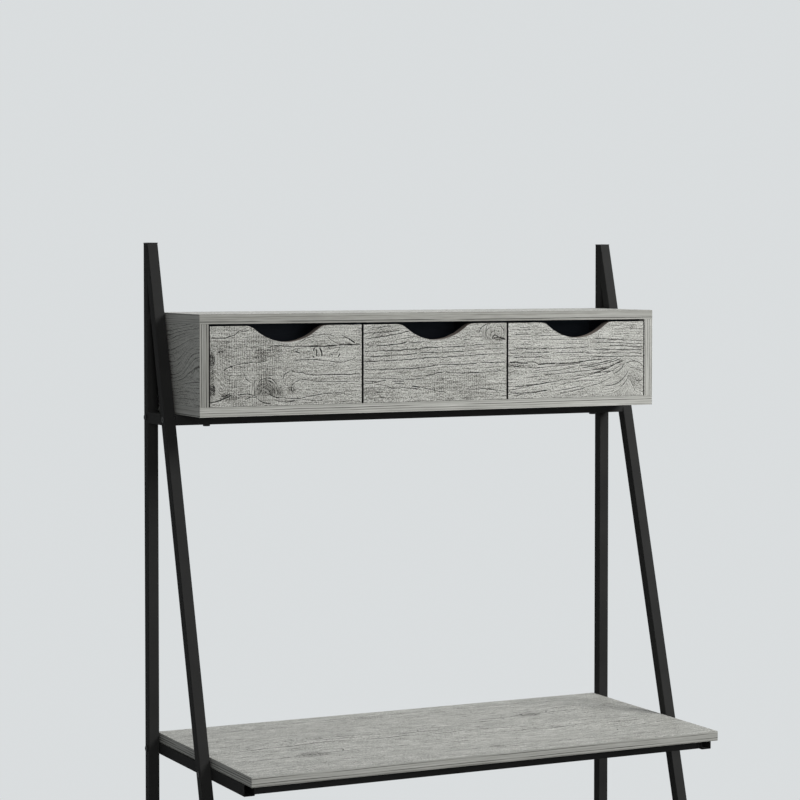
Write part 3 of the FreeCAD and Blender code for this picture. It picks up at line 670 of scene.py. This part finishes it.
# Three flowing humps, three knots with cracks running out of them, and long cracks between.
WORKTOP_GRAIN = dict(
    bends=((-230, 70, 210, 70, 44, 2), (210, -110, 230, 70, -40, 2), (400, 150, 110, 50, 26, 2)),
    knots=((-318, -96, 22, NO_FLOOR, 1.5), (252, 84, 20, NO_FLOOR, 1.6), (36, -178, 12, NO_FLOOR, 1.9)),
    smudges=(
        (-318, -96, 40, 22, NO_FLOOR, 0.36),
        (-321, -95, 13, 7, NO_FLOOR, 0.75),
        (252, 84, 36, 19, NO_FLOOR, 0.36),
        (255, 85, 11, 6, NO_FLOOR, 0.75),
        (36, -178, 22, 11, NO_FLOOR, 0.36),
        (37, -178, 7, 4, NO_FLOOR, 0.70),
        (-60, 196, 46, 10, NO_FLOOR, 0.30),
        (398, -64, 40, 12, NO_FLOOR, 0.28),
    ),
    strokes=[
        *drawn(CRACK, ((-292, -95), (-196, -90), 2), ((-192, -89), (-110, -92), -1),
               ((-468, -106), (-344, -98), -3), ((276, 86), (352, 92), 2), ((120, 78), (228, 82), -2),
               ((-84, 12), (18, 16), 1)),
        *drawn(NICK, ((-250, -84), (-244, -76), 0), ((-226, -98), (-222, -106), 0),
               ((300, 96), (306, 103), 0), ((180, 72), (184, 64), 0), ((-36, 22), (-31, 29), 0),
               ((330, -140), (336, -134), 0)),
        *drawn(LINE, ((-480, 176), (-352, 182), 3), ((-346, 182), (-236, 178), -2),
               ((-160, 214), (-20, 208), -3), ((-14, 208), (112, 212), 2), ((140, -190), (262, -184), 3),
               ((266, -184), (402, -190), -3),
               ((20, 18), (134, 14), -2), ((-420, -186), (-300, -180), 2), ((-260, 34), (-150, 40), 4),
               ((356, 92), (470, 88), -2), ((48, -178), (120, -172), 2), ((-70, -182), (22, -180), -2)),
        *drawn(HAIR, ((-460, 96), (-330, 102), 3), ((-220, -30), (-90, -24), 2), ((-90, -24), (40, -30), -2),
               ((60, 140), (190, 146), 3), ((300, -20), (440, -26), -3), ((-400, -40), (-290, -46), -2),
               ((-180, -140), (-60, -134), 3), ((180, 200), (330, 206), 3), ((150, -70), (280, -64), 2),
               ((410, -140), (486, -136), 1)),
    ],
    spacing=9.0,
    wander=30.0,
    dashed=0.45,
)
# Two humps and a knot, with long cracks beside them.
TOP_GRAIN = dict(
    bends=((-120, 150, 190, 50, 34, 2), (330, 90, 150, 40, -24, 2)),
    knots=((148, 176, 16, NO_FLOOR, 1.6),),
    smudges=(
        (148, 176, 30, 15, NO_FLOOR, 0.36),
        (150, 176, 9, 5, NO_FLOOR, 0.70),
        (-396, 84, 30, 9, NO_FLOOR, 0.30),
    ),
    strokes=[
        *drawn(CRACK, ((166, 178), (262, 184), 3), ((-380, 60), (-262, 64), 1)),
        *drawn(NICK, ((-330, 70), (-325, 78), 0), ((210, 190), (214, 197), 0)),
        *drawn(LINE, ((-256, 64), (-130, 60), -2), ((268, 184), (396, 180), -2), ((20, 172), (128, 175), 2),
               ((-470, 196), (-340, 202), 3), ((-60, 50), (70, 56), 3), ((76, 56), (200, 52), -2),
               ((330, 38), (460, 44), 2)),
        *drawn(HAIR, ((-310, 128), (-190, 134), 2), ((-20, 224), (120, 228), 2), ((230, 110), (350, 104), -2),
               ((-440, 34), (-330, 38), 1)),
    ],
    spacing=9.0,
    wander=24.0,
    dashed=0.45,
)
# Half a knot with a loop beside it, a long crack with nicks below, and saw marks on the left.
LEFT_FRONT = dict(
    bends=((60, 122, 80, 26, 9, 2), (-150, 62, 16, 40, 20, 2), (-45, 4, 60, 16, 9, 2)),
    knots=((-46, 22, 29, 21, 1.4), (-160, 34, 18, NO_FLOOR, 1.6), (-162, 92, 15, NO_FLOOR, 1.8)),
    smudges=(
        (-43, 22, 30, 31, 21, 0.45),
        (-30, 22, 26, 20, 20, 0.55),
        (10, 26, 10, 24, 21, 0.35),
        (-157, 90, 9, 15, NO_FLOOR, 0.95),
        (-156, 32, 9, 15, 21, 0.95),
        (-157, 60, 7, 60, NO_FLOOR, 0.45),
        (-143, 118, 26, 18, NO_FLOOR, 0.18),
        (-54, 98, 17, 15, NO_FLOOR, 0.45),
        (-30, 102, 26, 15, NO_FLOOR, 0.20),
        (-122, 16, 20, 9, NO_FLOOR, 0.35),
        (-141, 105, 3, 2, NO_FLOOR, 1.5),
        (-135, 106, 3, 2, NO_FLOOR, 1.5),
        (-116, 77, 3, 2, NO_FLOOR, 1.5),
    ),
    strokes=[
        *drawn(CRACK, ((51, 113), (102, 114), 0), ((98, 114), (158, 116), 1), ((-160, 8), (-116, 23), -2)),
        *drawn(NICK, ((18, 104), (27, 102), 0), ((59, 111), (56, 104), 0), ((62, 108), (63, 94), 0),
               ((69, 111), (74, 94), 1), ((56, 95), (57, 91), 0), ((88, 111), (90, 108), 0),
               ((113, 98), (109, 92), 0), ((132, 126), (145, 119), 0)),
        *drawn(LINE, ((-27, 115), (59, 113), 0), ((117, 134), (143, 120), 1), ((-130, 131), (-106, 139), 0),
               ((-107, 139), (-98, 146), 0), ((-131, 70), (-94, 82), 2), ((-95, 82), (-54, 84), 1),
               ((18, 87), (81, 85), 2), ((-8, 51), (9, 64), 5), ((9, 64), (47, 58), 2),
               ((47, 58), (158, 57), 0), ((11, 26), (17, 44), 4), ((16, 44), (47, 47), 3),
               ((-55, 50), (-22, 42), 7),
               ((-147, 35), (-120, 40), -18), ((-130, 19), (-120, 25), 0), ((-38, 23), (-8, 15), -3),
               ((-8, 15), (44, 16), -3), ((-58, 11), (-34, 4), -2), ((-102, 21), (-63, 18), 4),
               ((-88, 12), (-58, 11), 6), ((44, 16), (124, 21), 2), ((-27, 12), (17, 10), -5)),
        *drawn(HAIR, ((-38, 112), (-8, 114), 3), ((87, 131), (124, 116), -4), ((28, 123), (102, 133), 7),
               ((110, 108), (97, 100), 3), ((-158, 132), (-128, 132), -1), ((-98, 146), (-79, 147), -3),
               ((-54, 84), (-38, 88), 0), ((91, 84), (139, 87), -4), ((138, 86), (148, 91), 0),
               ((-91, 65), (-72, 44), -4), ((-8, 51), (2, 37), -3), ((46, 47), (158, 44), -2),
               ((-68, 33), (-55, 50), 8), ((-61, 33), (-34, 44), 14), ((-146, 44), (-124, 40), -13),
               ((17, 10), (76, 8), 0)),
    ],
    saw_patches=((-80, 80, 100, 105, 0.20),),
    spacing=9.0,
    wander=8.0,
    dashed=0.9,
    lines=0.30,
)
# Long cracks that climb to the right, and a knot in the upper right corner.
MIDDLE_FRONT = dict(
    bends=((-70, 138, 70, 24, 8, 2), (-130, 30, 60, 20, 10, 2)),
    knots=((141, 138, 34, NO_FLOOR, 1.5),),
    smudges=(
        (141, 123, 16, 5, NO_FLOOR, 0.75),
        (118, 132, 34, 14, NO_FLOOR, 0.20),
        (-120, 142, 40, 10, NO_FLOOR, 0.25),
        (-140, 22, 30, 12, NO_FLOOR, 0.15),
    ),
    slope=0.036,
    strokes=[
        *long_cracks((102, 92, 82)),
        *drawn(CRACK, ((-54, 31), (-35, 29), 0), ((145, 125), (157, 121), 0), ((126, 121), (141, 127), 6)),
        *drawn(LINE, ((-159, 66), (-58, 67), -1), ((-58, 67), (6, 73), -2), ((6, 73), (92, 74), -1),
               ((104, 75), (156, 75), 0), ((-95, 47), (-25, 47), -2), ((-22, 51), (20, 58), 1),
               ((20, 58), (99, 56), -2), ((-98, 41), (-71, 41), 0), ((-93, 37), (-71, 36), 0),
               ((-98, 28), (-34, 25), 1), ((-159, 44), (-110, 44), -3), ((-130, 146), (-100, 150), 2),
               ((-62, 118), (-27, 119), 0), ((138, 147), (154, 138), 4), ((97, 135), (124, 152), 7),
               ((-157, 126), (-60, 141), -2), ((-157, 115), (-65, 118), -3)),
        *drawn(HAIR, ((99, 56), (156, 59), 0), ((-159, 49), (-95, 47), 0), ((-159, 39), (-98, 29), 2),
               ((-34, 29), (22, 17), -1), ((67, 22), (158, 15), 3), ((-141, 136), (-80, 142), 0),
               ((-91, 123), (-47, 130), 0), ((36, 128), (57, 124), 1), ((62, 122), (77, 122), 0),
               ((113, 120), (132, 145), 11), ((122, 119), (145, 136), 11)),
    ],
    saw_patches=((50, 28, 100, 45, 0.16),),
    spacing=8.5,
    wander=6.0,
    dashed=0.7,
    lines=0.30,
)
# Broken rows above a long crack, and a ridge on the right that the lines below run up to.
RIGHT_FRONT = dict(
    bends=((120, 0, 13, 70, 50, 1), (95, 0, 170, 80, 30, 2)),
    smudges=(
        (138, 36, 18, 22, NO_FLOOR, 0.20),
        (-140, 67, 34, 5, NO_FLOOR, 0.45),
        (-140, 54, 26, 5, NO_FLOOR, 0.30),
    ),
    strokes=[
        *rows(LINE, (-146, -158, -144), -64, 84, 9, 0, 0),
        *rows(HAIR, (-130, -129, -154, -157), -108, 110, 10, 0, 0),
        *rows(HAIR, (-50, -54, -37, -100, -106), 18, 92, 9, 0, 0),
        *rows(LINE, (36, 20, 39, 77, 46, 43), 157, 83, 7.5, -1, -1.2),
        *drawn(CRACK, ((-157, 75), (-115, 72), 0), ((-91, 69), (-50, 71), 0), ((-50, 69), (17, 73), -1),
               ((38, 56), (75, 58), 0)),
        *drawn(LINE, ((-118, 75), (-90, 69), 3), ((17, 73), (58, 77), 1), ((-154, 69), (-63, 65), -5),
               ((5, 64), (99, 80), -3), ((13, 61), (107, 78), -3), ((34, 49), (109, 76), -5),
               ((55, 59), (112, 74), -3), ((-144, 25), (-46, 35), -2), ((-156, 12), (-70, 16), -2),
               ((90, 47), (113, 67), -3), ((70, 22), (124, 54), -10), ((105, 20), (125, 44), -3),
               ((119, 68), (157, 64), 6), ((139, 38), (158, 34), -6)),
        *rows(HAIR, (-150, -152), -66, 6, 12, 9, 5),
        *drawn(HAIR, ((-8, 36), (78, 58), -1), ((26, 22), (84, 40), -3), ((-40, 8), (30, 22), -1),
               ((44, 40), (102, 62), -2)),
        *drawn(HAIR, ((-18, 84), (39, 84), 0), ((-63, 65), (10, 70), -1), ((-110, 53), (-4, 62), -2),
               ((-79, 48), (39, 56), -1), ((-18, 41), (82, 53), 0), ((-53, 14), (10, 24), -2),
               ((-42, 26), (44, 34), 2), ((126, 43), (140, 11), -1), ((128, 58), (158, 49), 3)),
    ],
    spacing=6.0,
    wander=5.0,
    dashed=1.0,
    lines=0.75,
    # The right front is printed a little paler, as painted light.
    painted_light=0.04,
)
FRONT_GRAIN = {"left": LEFT_FRONT, "middle": MIDDLE_FRONT, "right": RIGHT_FRONT}


# Half the width of a front's finger cut-out at its lips, and its depth, in millimetres.
CUTOUT_HALF_WIDTH = 94.0
CUTOUT_DEPTH = 33.0

# The prints of the three fronts take seeds this far apart, from the left one's on.
FRONT_SEED = 211.0
SEED_STEP = 13.0


def drawer_fronts():
    """A print of its own on each drawer front, its edges painted black as the shade in the gaps, and the sawn
    core in its cut-out.
    """
    for number, name in enumerate(DRAWERS):
        node = "drawer_" + name + "_front"
        low, high = (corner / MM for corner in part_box(node))
        origin = ((low[X] + high[X]) / 2, low[Y], low[Z])
        height = high[Z] - low[Z]
        cutout = (CUTOUT_HALF_WIDTH, height - CUTOUT_DEPTH, height)
        seed = FRONT_SEED + SEED_STEP * number
        material = oak_print(name + " front oak", X, Y, seed, origin, cutout=cutout, **FRONT_GRAIN[name])
        dress(node, material)


def slot_finishes():
    """The finish of each material slot in the record, apart from the oak boards."""
    dark_plastic, pale_plastic = (0.013, 0.013, 0.014, 1), (0.020, 0.020, 0.021, 1)
    dark_bolt, pale_bolt = (0.014, 0.014, 0.014, 1), (0.024, 0.024, 0.024, 1)
    dark_zinc, pale_zinc = (0.42, 0.43, 0.45, 1), (0.62, 0.62, 0.63, 1)
    dark_nylon, pale_nylon = (0.70, 0.70, 0.66, 1), (0.78, 0.78, 0.74, 1)
    dark_beech, pale_beech = (0.50, 0.33, 0.19, 1), (0.68, 0.50, 0.32, 1)
    return {
        "black_steel": black_powder_coat(),
        "black_plastic": plain_finish("black plastic", dark_plastic, pale_plastic, 0.50, specular=0.15),
        "black_bolts": plain_finish("black bolts", dark_bolt, pale_bolt, 0.42, specular=0.10),
        "zinc_steel": plain_finish("zinc steel", dark_zinc, pale_zinc, 0.35, metallic=1.0),
        "nylon": plain_finish("nylon", dark_nylon, pale_nylon, 0.45),
        "beech": plain_finish("beech", dark_beech, pale_beech, 0.60, along=Z),
        "black_board": shaded_interior_board(),
    }


def dress_by_slot(finishes):
    """Each CAD node but the oak boards takes the finish of its material slot."""
    for name, node in nodes.items():
        slot = node.data.materials[0].name if node.data.materials else ""
        if slot in finishes:
            dress(name, finishes[slot])


# -------------------------------------------------------------------- welds

BEAD_RADIUS = 2.3 * MM
BEAD_LENGTH = 19.6 * MM
BEAD_END = 1.0 * MM
BEAD_RIPPLES = 8
BEAD_OFFSET = 0.7 * MM      # from each of the two steel faces to the middle of a bead

# A bead grows ring by ring. Each step is a share of a ripple's length and a change in width.
END_WIDTH = 0.6
VALLEY_WIDTH = 0.84
FIRST_CREST = (0.3, 1.6)
VALLEY = (0.6, VALLEY_WIDTH)
CREST = (0.4, 1 / VALLEY_WIDTH)
LAST_CREST = (0.7, 0.9)

# The bead in the V between two legs is this much taller, and lies this far below its tip.
V_BEAD_HEIGHT = 3.0
V_BEAD_DROP = 6.0 * MM


def next_ring(place, step, growth):
    """Draws the end of a bead out to its next ring."""
    bpy.ops.mesh.extrude_region_move(TRANSFORM_OT_translate={"value": (step, 0, 0)})
    bpy.ops.transform.resize(value=(1, growth, growth), center_override=(place + step, 0, 0))
    return place + step


def weld_bead():
    """A bead of weld laid along X in ripples, with its middle at the origin."""
    bpy.ops.object.select_all(action="DESELECT")
    start = -BEAD_LENGTH / 2
    bpy.ops.mesh.primitive_cylinder_add(
        vertices=12, radius=BEAD_RADIUS * END_WIDTH, depth=BEAD_END,
        location=(start + BEAD_END / 2, 0, 0), rotation=(0, math.radians(90), 0))
    bead = bpy.context.object
    bpy.ops.object.transform_apply(location=True, rotation=True, scale=True)
    bpy.context.tool_settings.mesh_select_mode = (False, False, True)
    for vertex in bead.data.vertices:
        vertex.select = False
    for edge in bead.data.edges:
        edge.select = False
    for face in bead.data.polygons:
        face.select = face.normal.x > 0.9
    bpy.ops.object.mode_set(mode="EDIT")
    pitch = (BEAD_LENGTH - 2 * BEAD_END) / BEAD_RIPPLES
    place = start + BEAD_END
    for step, growth in (FIRST_CREST, *(VALLEY, CREST) * (BEAD_RIPPLES - 1), LAST_CREST):
        place = next_ring(place, pitch * step, growth)
    next_ring(place, BEAD_END, END_WIDTH)
    bpy.ops.object.mode_set(mode="OBJECT")
    bead.modifiers.new("rounding", "SUBSURF").levels = 1
    bpy.ops.object.modifier_apply(modifier="rounding")
    bpy.ops.object.shade_smooth()
    return bead


def laid_bead(bead, place, upright=False, height=1.0):
    """A copy of the bead at a place, upright if it follows Z."""
    copy = bead.copy()
    copy.data = bead.data.copy()
    bpy.context.scene.collection.objects.link(copy)
    copy.location = place
    copy.rotation_euler = (0, math.radians(90) if upright else 0, 0)
    copy.scale = (1, 1, height)
    bpy.ops.object.select_all(action="DESELECT")
    copy.select_set(True)
    bpy.context.view_layer.objects.active = copy
    bpy.ops.object.transform_apply(location=True, rotation=True, scale=True)
    return copy


def joined(name, beads, steel):
    """One piece of all the beads, on the frame."""
    bpy.ops.object.select_all(action="DESELECT")
    for bead in beads:
        bead.select_set(True)
    bpy.context.view_layer.objects.active = beads[0]
    bpy.ops.object.join()
    piece = bpy.context.object
    piece.name = name
    piece.data.materials.append(steel)
    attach(piece, "frame")


def leg_slope():
    """How far a slanted leg comes forward for each metre down."""
    hutch_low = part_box("hutch_rail_left")[0]
    foot_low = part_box("foot_rail_left")[0]
    return (hutch_low[Y] - foot_low[Y]) / (hutch_low[Z] - foot_low[Z])


def rail_beads(bead, rail):
    """Beads above and below both ends of a rail, where it meets the two legs."""
    low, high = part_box(rail)
    middle_x = (low[X] + high[X]) / 2
    above, below = high[Z] + BEAD_OFFSET, low[Z] - BEAD_OFFSET
    rear_y, low_front_y = high[Y] - BEAD_OFFSET, low[Y] + BEAD_OFFSET
    high_front_y = low_front_y + leg_slope() * (high[Z] - low[Z])
    corners = ((rear_y, above), (rear_y, below), (high_front_y, above), (low_front_y, below))
    return [laid_bead(bead, (middle_x, y, z)) for y, z in corners]


def mast_bead(bead, rail):
    """A tall bead in the narrow V below the place where the two legs meet."""
    low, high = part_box(rail)
    tip_z = low[Z] + (high[Y] - low[Y]) / leg_slope()
    middle_y = high[Y] - V_BEAD_DROP * leg_slope() / 2
    place = ((low[X] + high[X]) / 2, middle_y, tip_z - V_BEAD_DROP)
    return laid_bead(bead, place, height=V_BEAD_HEIGHT)


def worktop_frame_beads(bead, side):
    """Upright beads where the two crossbars under the worktop meet a bearer."""
    front_low, front_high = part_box("desk_front_crossbar")
    rear_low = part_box("desk_rear_crossbar")[0]
    x = side * (front_high[X] - BEAD_OFFSET)
    z = (front_low[Z] + front_high[Z]) / 2
    corners = (front_low[Y] - BEAD_OFFSET, front_high[Y] + BEAD_OFFSET, rear_low[Y] - BEAD_OFFSET)
    return [laid_bead(bead, (x, y, z), upright=True) for y in corners]


def welds(steel):
    """The weld beads of both side frames and of the frame under the worktop."""
    bead = weld_bead()
    for side_name, side in SIDES:
        beads = rail_beads(bead, "hutch_rail_" + side_name)
        beads += rail_beads(bead, "foot_rail_" + side_name)
        beads.append(mast_bead(bead, "hutch_rail_" + side_name))
        joined("side_frame_welds_" + side_name, beads, steel)
        joined("worktop_frame_welds_" + side_name, worktop_frame_beads(bead, side), steel)
    bpy.data.objects.remove(bead)


# ------------------------------------------------------------------- studio

PALE = (0.70, 0.725, 0.735, 1)
WORLD_FILL = 0.20       # strength of the world's light on the desk, against 1 where it is seen

# Within NEAR_FLOOR millimetres of the desk's middle the floor is half shaded by the lamps, and
# so shows the desk's shadow. Past FAR_FLOOR it is an even backdrop.
NEAR_FLOOR = 900.0
FAR_FLOOR = 2400.0
FLOOR_SHADING = 0.5
FLOOR_RADIUS = 14.0

# The light that the floor throws back up at the desk is less than its pale colour would give.
FLOOR_BOUNCE = (0.20, 0.205, 0.21, 1)


def seen_ray(tree):
    """1 for rays that the camera sees, directly or in a gloss or through glass, 0 for the others."""
    path = add_node(tree, "ShaderNodeLightPath")
    camera = Field(tree, path.outputs["Is Camera Ray"])
    glossy = Field(tree, path.outputs["Is Glossy Ray"])
    through = Field(tree, path.outputs["Is Transmission Ray"])
    return camera.math("MAXIMUM", glossy).math("MAXIMUM", through)


def studio_floor():
    """A plain pale floor that turns into an even backdrop away from the desk."""
    bpy.ops.mesh.primitive_circle_add(vertices=96, radius=FLOOR_RADIUS, fill_type="NGON")
    floor = bpy.context.object
    floor.name = "floor"
    material, tree, shader = new_material("pale floor")
    seen = seen_ray(tree)
    plug(tree, shader.inputs["Base Color"], colour_mix(tree, seen, FLOOR_BOUNCE, PALE))
    shader.inputs["Roughness"].default_value = 0.9
    shader.inputs["Specular IOR Level"].default_value = 0.1
    place, _ = places(tree)
    distance = (place[X] * place[X] + place[Y] * place[Y]).math("SQRT")
    evenness = distance.between(NEAR_FLOOR, FAR_FLOOR).less_from(1.0) * -FLOOR_SHADING + 1.0
    backdrop = add_node(tree, "ShaderNodeEmission", {"Color": PALE, "Strength": 1.0})
    shares = {0: evenness * seen, 1: shader.outputs[0], 2: backdrop.outputs[0]}
    mix = add_node(tree, "ShaderNodeMixShader", shares)
    plug(tree, tree.nodes["Material Output"].inputs["Surface"], mix.outputs[0])
    floor.data.materials.append(material)


def studio_world():
    """A pale world, which lights the desk less than it shows."""
    world = bpy.data.worlds.new("studio")
    bpy.context.scene.world = world
    world.use_nodes = True
    tree = world.node_tree
    background = tree.nodes["Background"]
    background.inputs["Color"].default_value = PALE
    plug(tree, background.inputs["Strength"], seen_ray(tree) * (1.0 - WORLD_FILL) + WORLD_FILL)


def soft_box(name, place, aim, size, power):
    """A square lamp of that size in metres and power in watts, turned towards its aim."""
    light = bpy.data.lights.new(name, "AREA")
    light.shape = "SQUARE"
    light.size = size
    light.energy = power
    lamp = bpy.data.objects.new(name, light)
    lamp.location = place
    lamp.rotation_euler = (Vector(aim) - Vector(place)).to_track_quat("-Z", "Y").to_euler()
    bpy.context.scene.collection.objects.link(lamp)


def studio_lights():
    """A key light high on the right, a weak one from the front, and one for the back."""
    soft_box("key light", place=(2.1, -2.2, 3.4), aim=(0.0, 0.1, 1.2), size=1.6, power=131.0)
    soft_box("front light", place=(-1.5, -3.9, 1.75), aim=(0.0, 0.0, 1.45), size=0.8, power=29.0)
    soft_box("rear light", place=(0.6, 2.6, 3.6), aim=(0.0, 0.0, 0.9), size=2.0, power=35.0)


CAMERA_PLACE = (-2.21087, -4.33077, 1.68622)
CAMERA_TURN = -26.132       # degrees about the upright axis
CAMERA_PITCH = -2.078       # degrees, and down
CAMERA_LENS = 110.11        # millimetres
SENSOR_WIDTH = 36.0         # millimetres
CAMERA_SHIFT = -0.06        # downwards, as a share of the picture


def studio_camera():
    """The camera, at eye height to the left, with the desk's upper half in its frame."""
    camera_data = bpy.data.cameras.new("camera")
    camera = bpy.data.objects.new("camera", camera_data)
    camera_data.sensor_width = SENSOR_WIDTH
    camera_data.lens = CAMERA_LENS
    camera_data.shift_y = CAMERA_SHIFT
    camera_data.clip_end = 100.0
    camera.location = CAMERA_PLACE
    camera.rotation_euler = (math.radians(90.0 + CAMERA_PITCH), 0.0, math.radians(CAMERA_TURN))
    bpy.context.scene.collection.objects.link(camera)
    bpy.context.scene.camera = camera


# --------------------------------------------------------------- the scene

finishes = slot_finishes()
dress_by_slot(finishes)
welds(finishes["black_steel"])
wood_boards()
drawer_fronts()
studio_world()
studio_floor()
studio_lights()
studio_camera()
bpy.context.scene.view_settings.view_transform = "Standard"
